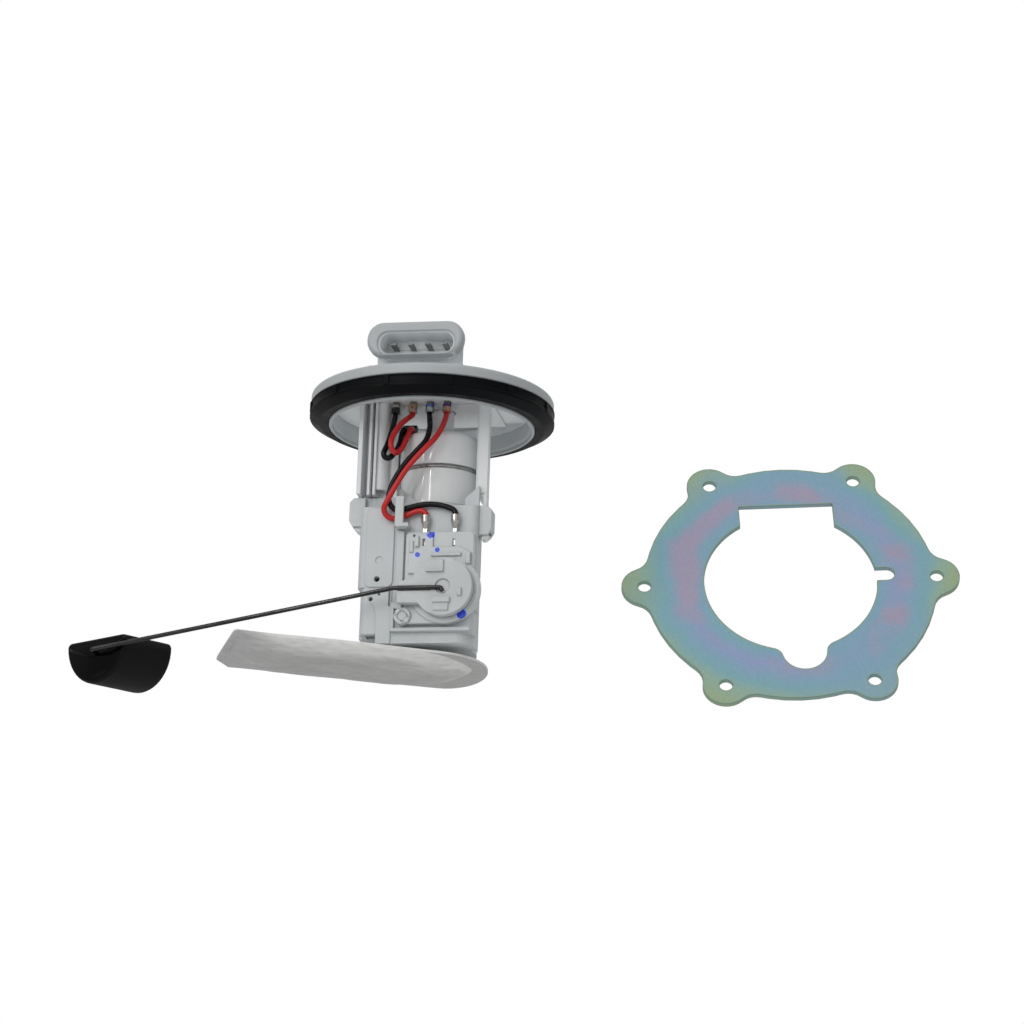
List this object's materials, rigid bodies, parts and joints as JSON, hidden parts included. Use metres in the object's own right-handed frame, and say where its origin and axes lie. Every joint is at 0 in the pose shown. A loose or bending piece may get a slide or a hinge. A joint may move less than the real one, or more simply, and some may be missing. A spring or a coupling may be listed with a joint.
{
  "type": "fuel pump",
  "caption": "In-tank fuel pump module: round flange with plug socket and hose stem, pump cartridge, level sender with float arm, felt strainer and loose clamping plate",
  "frame": {"origin": "centre of the face that the seal presses on the tank", "axes": "+Z out of the tank along the pump's length, plug socket and level sender towards -Y, hose stem towards +Y, float towards -X"},
  "size_m": [0.3574, 0.1473, 0.1488],
  "materials": {
    "white_plastic": "moulded acetal, translucent white, satin",
    "clear_plastic": "milky translucent plastic, smooth",
    "black_plastic": "black moulded plastic",
    "seal_rubber": "black moulded rubber, satin",
    "bright_steel": "plain bright steel",
    "cast_aluminium": "die-cast, fine grain",
    "copper_alloy": "bare copper alloy",
    "magnet_ferrite": "dark sintered",
    "zinc_plate": "steel sheet, zinc plated with an iridescent passivation",
    "black_sleeve": "glossy insulation",
    "red_sleeve": "glossy insulation",
    "card_ceramic": "fired ceramic card",
    "dark_wire": "dark drawn wire",
    "float_foam": "closed-cell foam, slightly glossy skin",
    "felt": "spun felt with heat-sealed margins"
  },
  "bodies": {
    "module": {"flange": "white_plastic", "flange_seal": "seal_rubber", "connector_pins": "bright_steel", "flange_terminals": "copper_alloy", "retaining_plate": "zinc_plate", "upper_frame": "white_plastic", "lower_housing": "white_plastic", "pump_cap": "clear_plastic", "outlet_o_ring": "seal_rubber", "pump_sleeve": "clear_plastic", "pump_can": "bright_steel", "pump_outlet_cover": "black_plastic", "pump_inlet_cover": "cast_aluminium", "chamber_plate": "cast_aluminium", "magnets": "magnet_ferrite", "upper_bearing": "copper_alloy", "lower_bearing": "copper_alloy", "brushes": "magnet_ferrite", "brush_springs": "bright_steel", "check_valve_spring": "bright_steel", "pump_plug": "black_plastic", "pump_wire_black": "black_sleeve", "pump_wire_red": "red_sleeve", "sender_wire_black": "black_sleeve", "sender_wire_red": "red_sleeve", "sender_base": "clear_plastic", "sender_terminals": "bright_steel", "resistor_card": "card_ceramic", "regulator_body": "bright_steel", "regulator_spring": "bright_steel", "regulator_cap": "bright_steel", "filter_sock": "felt", "sock_mount": "white_plastic"},
    "float_lever": {"arm_holder": "clear_plastic", "wiper": "copper_alloy", "float_arm": "dark_wire", "float": "float_foam"},
    "rotor": {"armature": "copper_alloy", "rotor_shaft": "bright_steel", "commutator": "copper_alloy", "impeller": "black_plastic"},
    "check_poppet": {"check_valve": "seal_rubber"},
    "regulator_poppet": {"regulator_valve": "bright_steel"}
  },
  "joints": [
    {"name": "float_pivot", "type": "hinge", "parent": "module", "child": "float_lever", "pos_m": [0.013, -0.026, -0.0755], "axis": [0, 1, 0], "range_deg": [0, 35]},
    {"name": "rotor_spin", "type": "hinge", "parent": "module", "child": "rotor", "pos_m": [0.0045, 0, -0.05], "axis": [0, 0, 1], "continuous": true},
    {"name": "check_valve_lift", "type": "slide", "parent": "module", "child": "check_poppet", "axis": [0, 0, 1], "range_m": [0, 0.0012], "stiffness_N_per_m": 300, "springref_m": -0.0008, "deforming": ["check_valve_spring"]},
    {"name": "regulator_lift", "type": "slide", "parent": "module", "child": "regulator_poppet", "axis": [0, 0, -1], "range_m": [0, 0.001], "stiffness_N_per_m": 1500, "springref_m": -0.001, "deforming": ["regulator_spring"]}
  ]
}
